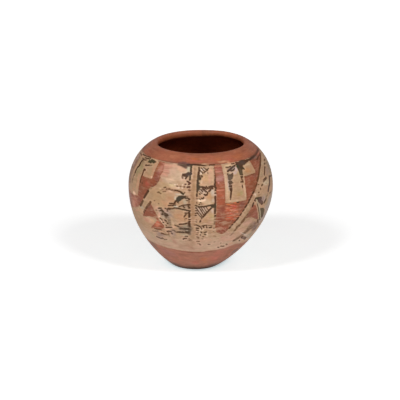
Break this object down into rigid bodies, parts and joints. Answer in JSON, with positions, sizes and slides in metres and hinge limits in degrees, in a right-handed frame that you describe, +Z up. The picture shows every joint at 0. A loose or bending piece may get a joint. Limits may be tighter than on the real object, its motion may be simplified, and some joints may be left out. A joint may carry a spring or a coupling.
{
  "type": "clay pot",
  "caption": "Round hand-coiled clay pot with a small flat foot, a wide shoulder and a rounded lip, slipped red and cream and painted outside.",
  "frame": {"origin": "on the surface that the pot stands on, straight under the middle of its belly and mouth", "axes": "+Z up through the mouth, -Y towards the side that the picture shows, +X to that view's right"},
  "size_m": [0.152, 0.152, 0.1326],
  "materials": {
    "bare_clay": "matt fired clay",
    "red_slip": "stone-burnished red slip",
    "cream_slip": "worn cream slip with painted pattern"
  },
  "bodies": {
    "root": {"base_pat": "bare_clay", "coil_1": "bare_clay", "coil_2": "bare_clay", "coil_3": "bare_clay", "coil_4": "bare_clay", "coil_5": "bare_clay", "coil_6": "bare_clay", "rim_coil": "bare_clay", "base_red_slip": "red_slip", "cream_slip": "cream_slip", "rim_red_slip": "red_slip"}
  },
  "joints": []
}
